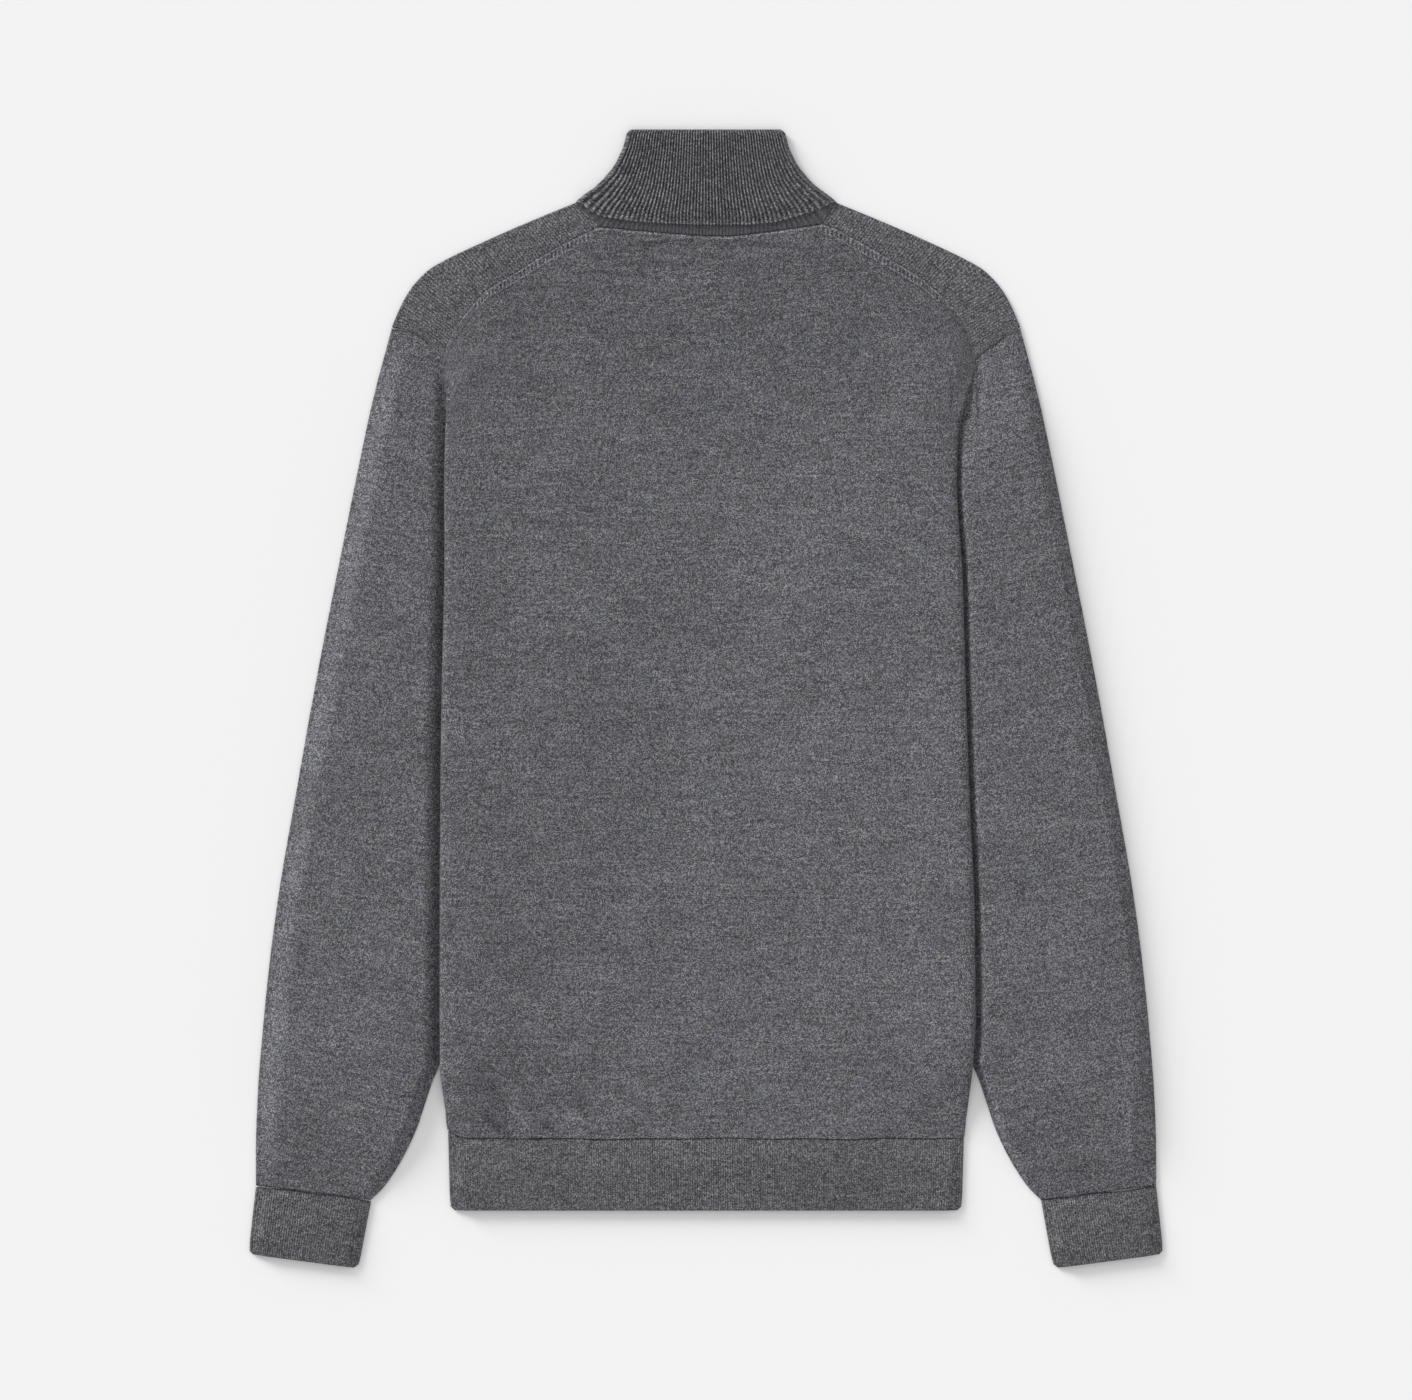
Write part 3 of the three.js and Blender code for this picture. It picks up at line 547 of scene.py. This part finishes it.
def sleeve_wall(sign, folds, rows, columns):
    """A flattened tube. The path round runs over the upper side, round the inner edge, back along the flat
    lower side and round the outer edge. The upper side swells away from its edges and from the body."""
    edge_name = "left" if sign < 0 else "right"
    n = np.arange(13.0)
    at = np.linspace(0, 12, rows)
    outer_y, inner_y, end, full = (np.interp(at, n, SLEEVE_ROWS[k])
                                   for k in ("outer", "inner", "end", "swell"))
    w = np.linspace(0, 1, columns)[:, None]
    end_x = np.where(SLEEVE_END["edge"] == 1, body_column(SLEEVE_END["y"], edge_name) + GAP, SLEEVE_END["x"])
    end_y = SLEEVE_END["y"].copy()
    if sign > 0:
        end_x[1:3], end_y[1:3] = RIGHT_END
    straight_x = mix(SLEEVE_OUTER["x"][0], SLEEVE_INNER["x"][0], w)
    straight_y = mix(SLEEVE_ROWS["outer"][0], SLEEVE_ROWS["inner"][0], w)
    x = (mix(curve(outer_y, SLEEVE_OUTER["y"], SLEEVE_OUTER["x"]),
             curve(inner_y, SLEEVE_INNER["y"], SLEEVE_INNER["x"]), w)
         + (np.interp(w, SLEEVE_END["w"], end_x) - straight_x) * end)
    y = mix(outer_y, inner_y, w) + (np.interp(w, SLEEVE_END["w"], end_y) - straight_y) * end
    from_outer = curve(y, SLEEVE_OUTER["y"], SLEEVE_OUTER["x"]) - x
    beside = np.where(y > SLEEVE_INNER["y"][1], body_column(y, edge_name),
                      curve(y, SLEEVE_INNER["y"], SLEEVE_INNER["x"]))
    valley_start, valley_rise = VALLEY[edge_name]
    rise = smooth(from_outer / SWELL_RISE[edge_name]) ** 0.8
    rise = rise * smooth((x - beside - valley_start) / valley_rise)
    high = SLEEVE_SWELL[edge_name] * full * rise
    for cx, cy, turn, long, wide, size in folds:
        a = math.radians(turn)
        along = (x - cx) * math.cos(a) + (y - cy) * math.sin(a)
        across = (y - cy) * math.cos(a) - (x - cx) * math.sin(a)
        high = high + size * hill(along, 0, long) * hill(across, 0, wide) * smooth((x - beside - 1) / 3)
    width = np.hypot(x[-1] - x[0], y[-1] - y[0])
    inward = np.stack([(x[-1] - x[0]) / width, (y[-1] - y[0]) / width], -1)
    pull = (INNER_BEND + HALF) * np.clip((0.5 - w) * 2, -1, 1)
    plan = np.stack([x, y], -1) + inward * pull[..., None]
    turn = np.linspace(-math.pi / 2, math.pi / 2, 9)[1:-1, None]

    def face(out):
        upper = np.concatenate([plan, (UPPER + high + out)[..., None]], -1)
        below = np.concatenate([plan, np.full((*plan.shape[:2], 1), LOWER - out)], -1)
        bend = INNER_BEND + out

        def rim(middle, direction, angle):
            flat = middle + direction * inward * (bend * np.cos(angle))[..., None]
            return np.concatenate([flat, (LAYER - GAP / 2 + bend * np.sin(angle) + 0 * at)[..., None]], -1)

        ring = np.concatenate([upper, rim(plan[-1], 1, -turn), below[::-1], rim(plan[0], -1, turn)])
        ring[..., 0] *= sign
        return ring

    outer = face(HALF)
    again = np.concatenate([outer, outer[:1]])
    u, v = travelled(again, 0), travelled(again, 1)
    c, s = math.cos(SLEEVE_SLANT), sign * math.sin(SLEEVE_SLANT)
    flat = np.stack([again[..., 0] * c + again[..., 1] * s, again[..., 1] * c - again[..., 0] * s], -1)
    maps = {"knit": flat, "seam": np.stack([u, np.minimum(v, v[:, -1:] - v)], -1)}
    return outer, face(-HALF), maps, True


for side, sign, folds in (("left", -1, LEFT_CREASES), ("right", 1, RIGHT_CREASES)):
    sleeve = cloth(side + "_sleeve_knit", [sleeve_wall(sign, folds, 150, 70)], jersey)
    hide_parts(side + "_sleeve")

# Collar: one fine rib tube joined round the neck. It stands up and turns down once on the outside, so that
# its free edge lies over the stand with a strip of the stand and the neck seam showing below it.
COLLAR_TOP, FRONT_DIP, COLLAR_RIBS, RIB_UP, COLLAR_SPAN = 398.1, 8, 57, 0.6, 130
NECK_HALF, NECK_END_Y, DROP_FROM, DROP_END = 88.45, 344.5, 0.74, 0.07
COLLAR_SIDE = table("r x", [
    (0, 53.5), (0.05, 55.4), (0.25, 58.1), (0.45, 62.8), (0.6, 67.5), (0.7, 72), (0.8, 78), (0.9, 85.2),
    (1, 91.3)])
FREE_EDGE = table("c y", [
    (-1, 347.6), (-0.86, 339.3), (-0.73, 336.5), (-0.57, 334.6), (-0.3, 333), (0, 332.2), (0.3, 332.2),
    (0.5, 333.5), (0.66, 336.5), (0.81, 340.5), (0.93, 344.6), (1, 347.6)])
FRONT_EDGE = table("c y", [(0, 340.5), (0.6, 342), (0.8, 346.5), (0.93, 350), (1, 347.6)])
LEVEL_OUT = table("level out", [
    (0, INNER_BEND - HALF), (1, INNER_BEND + HALF), (2, OUTER_BEND - HALF), (3, OUTER_BEND + HALF)])
# The collar's section, round from the free edge. part: 0 turned down, 1 stand. r: share of the way down.
# level: 0 and 1 the stand's two faces, 2 and 3 the turned-down layer's. rib: share of the full rib.
SECTION = table("part r level rib", [
    (0, 1.008, 2.5, 0.2), (0, 1.004, 3.05, 0.5), (0, 0.985, 3.3, 0.6), (0, 0.96, 3.1, 0.7),
    (0, 0.93, 3, 0.9), (0, 0.89, 3, 1), (0, 0.8, 3, 1), (0, 0.62, 3, 1), (0, 0.45, 3, 1), (0, 0.25, 3, 1),
    (0, 0.05, 3, 1), (0, 0.016, 2.67, 0.6), (0, 0.004, 2.1, 0.3), (0, 0, 1.5, 0.1), (0, 0.016, 0.33, 0),
    (1, 0.05, 0, 0), (1, 0.45, 0, 0), (1, 0.74, 0, 0), (1, 0.8, 0, 0), (1, 0.86, 0, 0), (1, 1, 0, 0),
    (1, 1, 1, 0.3), (1, 0.985, 1, 0.35), (1, 0.94, 1, 0.35), (1, 0.86, 1, 0.35), (1, 0.8, 1, 0.2),
    (1, 0.74, 1, 0), (1, 0.45, 1, 0), (1, 0.05, 1, 0), (0, 0.05, 2, 0), (0, 0.45, 2, 0), (0, 0.8, 2, 0),
    (0, 0.89, 2, 0), (0, 0.93, 2, 0), (0, 0.96, 2, 0), (0, 1, 2, 0)])


def neck_line(x, front):
    """The panel's neck edge between its corners, a gap further up, and on up to the collar's sides."""
    inside = np.linspace(-75.6, 81.9, 60)
    xs = np.array([-NECK_HALF, *inside, NECK_HALF])
    return np.interp(x, xs, np.array([NECK_END_Y, *(top_line(inside, front) + GAP), NECK_END_Y]))


def collar_wall(per_rib, plain):
    """The collar's closed section carried round the neck. The back carries ribs, each a cosine across, which
    fan out downwards: a share of the way across plus a cube's share that grows with the way down."""
    ribs = np.linspace(-1, 1, COLLAR_RIBS * per_rib + 1)
    turn = np.linspace(math.pi / 2, -math.pi / 2, 9)[1:-1]
    flat = np.linspace(1, -1, plain)
    c = np.concatenate([ribs, np.ones(7), flat, -np.ones(7)])[:, None]
    angle = np.concatenate([np.full(len(ribs), math.pi / 2), turn, np.full(plain, -math.pi / 2),
                            math.pi - turn[::-1]])[:, None]
    back = np.concatenate([np.ones(len(ribs)), np.zeros(7 + plain), np.zeros(7)])[:, None]
    front = np.concatenate([np.zeros(len(ribs) + 7), np.ones(plain), np.zeros(7)])[:, None]
    part, r, level, rib = (SECTION[k][None] for k in ("part", "r", "level", "rib"))
    middle = OUTER_BEND + HALF
    spread = mix(1, 0.74, np.clip(r, 0, 1) ** 2)
    warped = np.where(back > 0, c * spread + c ** 3 * (1 - spread), c)
    x = warped * (curve(r, COLLAR_SIDE["r"], COLLAR_SIDE["x"]) - middle)
    fold_y = COLLAR_TOP - front * FRONT_DIP * (1 - c ** 4) + 0 * r
    rib_wave = np.cos(math.pi * COLLAR_RIBS * (c + 1)) * back
    edge_back = curve(warped, FREE_EDGE["c"], FREE_EDGE["y"]) - 0.3 * rib_wave
    edge_front = curve(np.abs(c), FRONT_EDGE["c"], FRONT_EDGE["y"]) + 0 * r
    down = mix(fold_y, np.where(front > 0, edge_front, edge_back), r)
    neck = neck_line(warped * NECK_HALF, False)
    stand = mix(fold_y, neck, r)
    stand = np.where((front > 0) & (r == 1), neck_line(x, True), stand)
    stand = np.where(np.abs(c) == 1, mix(COLLAR_TOP, NECK_END_Y + 1, r), stand)
    y = mix(down, stand, part)
    reach = np.interp(level, LEVEL_OUT["level"], LEVEL_OUT["out"]) + RIB_UP * rib * rib_wave * (level > 0.5)
    reach = reach + np.where((level > 2.9) & (back > 0), 0.25 * hill(r, 0.5, 0.3), 0)
    low = np.where(part > 0, LAYER * smooth((r - DROP_FROM) / 0.12), 1.1 * back * smooth((r - 0.89) / 0.09))
    dropped = low * np.minimum(1, (1 - np.abs(c)) / DROP_END)
    outer = np.stack([x + np.cos(angle) * reach, y, middle - dropped + np.sin(angle) * reach], -1)
    beyond = np.concatenate([np.zeros(len(ribs)), np.full(14 + plain, COLLAR_SPAN + 20)])[:, None]
    u = (c + 1) / 2 * COLLAR_SPAN + beyond + 0 * r
    v = travelled(outer, 1)
    return outer, np.stack([u, v], -1)


def swept(name, points, uv, material):
    """One object of a closed section carried round a closed ring: a grid of points, around by section."""
    n, m = points.shape[:2]
    i, j = np.meshgrid(np.arange(n), np.arange(m), indexing="ij")
    ids = [(i, j), (i + 1, j), (i + 1, j + 1), (i, j + 1)]
    index = np.stack([(a % n) * m + b % m for a, b in ids], -1).reshape(-1, 4)
    place = np.stack([np.minimum(a, n - 1) * m + np.minimum(b, m - 1) for a, b in ids], -1).reshape(-1, 4)
    grid = points.reshape(-1, 3)
    a, b, c, d = (grid[index[:, k]] for k in range(4))
    if np.sum(a * (np.cross(b, c) + np.cross(c, d))) < 0:
        index, place = index[:, ::-1], place[:, ::-1]
    mesh = bpy.data.meshes.new(name)
    mesh.from_pydata((grid * 0.001).tolist(), [], index.tolist())
    mesh.uv_layers.new(name="knit").uv.foreach_set("vector", uv.reshape(-1, 2)[place].ravel())
    mesh.shade_smooth()
    mesh.materials.append(material)
    piece = bpy.data.objects.new(name, mesh)
    scene.collection.objects.link(piece)
    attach(piece, "root")
    return piece


# Measured along the section from the free edge: the roll's painted highlight, and where the stand's painted
# shade begins; then the tone that this shade draws the stand toward
ROLL_HIGHLIGHT_WIDTH, STAND_FROM, STAND_SHADE_TONE = 1.5, 100, 0.86


def roll_highlight_and_stand_shade(put, calc, tone, relief):
    """The collar's free edge is bound off in a thin roll with a painted highlight, and the stand inside it has
    painted shade.
    """
    down = put("SeparateXYZ", put("UVMap", uv_map="knit").outputs[0]).outputs[1]
    # Painted shade: the stand's tone is drawn toward a darker, even value
    stand = calc("GREATER_THAN", down, STAND_FROM)
    tone = calc("MULTIPLY_ADD", calc("MULTIPLY", stand, calc("SUBTRACT", STAND_SHADE_TONE, tone)), 0.6, tone)
    # Painted highlight along the free edge's roll
    return calc("MULTIPLY_ADD", calc("LESS_THAN", down, ROLL_HIGHLIGHT_WIDTH), 0.5, tone), relief


rib_wool = knit("rib_wool", (0.0825, 0.0812, 0.0842), (0.0725, 0.0735, 0.0828), 1.9, 1.1, streaks=0.5,
                rib=(COLLAR_SPAN / COLLAR_RIBS, 0.55), marks=roll_highlight_and_stand_shade)
collar = swept("collar_rib", *collar_wall(8, 60), rib_wool)
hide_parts("collar")

# Hem band: a fine rib tube joined to both panels all round, which lies flat below them.
HEM_RIBS, HEM_WIDTH = 218, 360.8
CORNER_INSET = 2.6


def rib_tube(ribs, per_rib, at, up, loft):
    """A flattened rib tube open at both ends: ribs raised on its upper side as cosines, its lower side plain.
    at(c, r) gives the plan, c from -1 to 1 across and r from 0 to 1 down. The open end is rounded."""
    r = np.array([0, 0.012, 0.03, 0.06, 0.2, 0.4, 0.6, 0.8, 0.95, 0.982, 0.994, 1.0])[None]
    thick = np.array([0.75, 0.9, 1, 1, 1, 1, 1, 1, 1, 0.92, 0.7, 0.3])[None]
    sunk = np.array([0.28, 0.25, 0.15, 0, 0, 0, 0, 0, 0, 0, 0, 0])[None]
    plain = 30
    turn = np.linspace(math.pi / 2, -math.pi / 2, 9)[1:-1]
    top = np.linspace(-1, 1, ribs * per_rib + 1)
    c = np.concatenate([top, np.ones(7), np.linspace(1, -1, plain), -np.ones(7)])[:, None]
    angle = np.concatenate([np.full(len(top), math.pi / 2), turn, np.full(plain, -math.pi / 2),
                            math.pi - turn[::-1]])[:, None]
    ribbed = np.concatenate([np.ones(len(top)), np.zeros(plain + 14)])[:, None]
    width = (at(1.0, r)[0] - at(-1.0, r)[0]) / 2
    inside = 1 - (INNER_BEND + HALF) / width
    x, y = at(c * inside, r)
    middle = LAYER - GAP / 2
    rounding = (np.cos(angle) != 0) & (np.abs(np.cos(angle)) > 1e-6)
    outward = np.where(rounding, np.sign(c) * np.abs(np.cos(angle)), 0)
    wave = np.cos(math.pi * ribs * (c + 1)) * ribbed

    def face(out):
        bend = INNER_BEND + out * thick
        lift = up * wave * thick * (out > 0) - sunk * ribbed
        lift = lift + loft * ribbed * smooth(r / 0.35) * smooth((1 - np.abs(c)) * width / 9)
        return np.stack([x + outward * bend, y + 0 * c, middle + np.sin(angle) * bend + lift], -1)

    outer = face(HALF)
    again = np.concatenate([outer, outer[:1]])
    u = np.concatenate([(c[:len(top)] + 1) * width.mean(),
                        2 * width.mean() + travelled(again, 0)[len(top):, :1]])
    v = travelled(again, 1)
    placed = np.stack([u + 0 * v, v], -1)
    return outer, face(-HALF), {"knit": placed, "seam": placed}, True


def tube_plan(seam, end, pull):
    """Plan of a tube from its corners at the seam and at the open end, where these turn in a little. pull
    is how far the seam is drawn up at a place across, which fades out half way down."""
    def at(c, r):
        t = (c + 1) / 2
        inset = CORNER_INSET * c * smooth((r - 0.93) / 0.07)
        x = mix(mix(seam[0][0], seam[1][0], t), mix(end[0][0], end[1][0], t), r) - inset
        y = mix(mix(seam[0][1], seam[1][1], t), mix(end[0][1], end[1][1], t), r)
        return x, y + pull(x) * smooth(1 - r / 0.5)
    return at


def cuff_pull(x):
    """The cuff's seam waves a little: two slow sines."""
    return 0.35 * np.sin(x / 6.0) + 0.3 * np.sin(x / 14.0 + 2)


hem_wool = knit("hem_wool", (0.0975, 0.094, 0.0968), (0.0833, 0.085, 0.094), 1.65, 1.1, streaks=0.8,
                rib=(HEM_WIDTH / HEM_RIBS, 0.12), marks=sewn_edge)
hem = cloth("hem_band_rib", [rib_tube(HEM_RIBS, 6, tube_plan(
    [(-180.4, -307.8), (180.4, -307.8)], [(-179, -357.9), (179, -357.9)], seam_pull), 0.16, 3)], hem_wool)
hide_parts("hem_band")

# Cuffs: fine rib tubes joined round the ends of the sleeves, lying flat and slanting with them.
CUFF_RIBS = 46
CUFF_PLANS = {
    "left": ([(-315, -341), (-234.4, -351.2)], [(-320.2, -388.6), (-243, -398.1)]),
    "right": ([(234.4, -351.2), (315, -341)], [(243, -398.1), (320.2, -388.6)]),
}
for side, plan in CUFF_PLANS.items():
    cuff = cloth(side + "_cuff_rib", [rib_tube(CUFF_RIBS, 8, tube_plan(*plan, cuff_pull), 0.2, 3)], hem_wool)
    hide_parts(side + "_cuff")
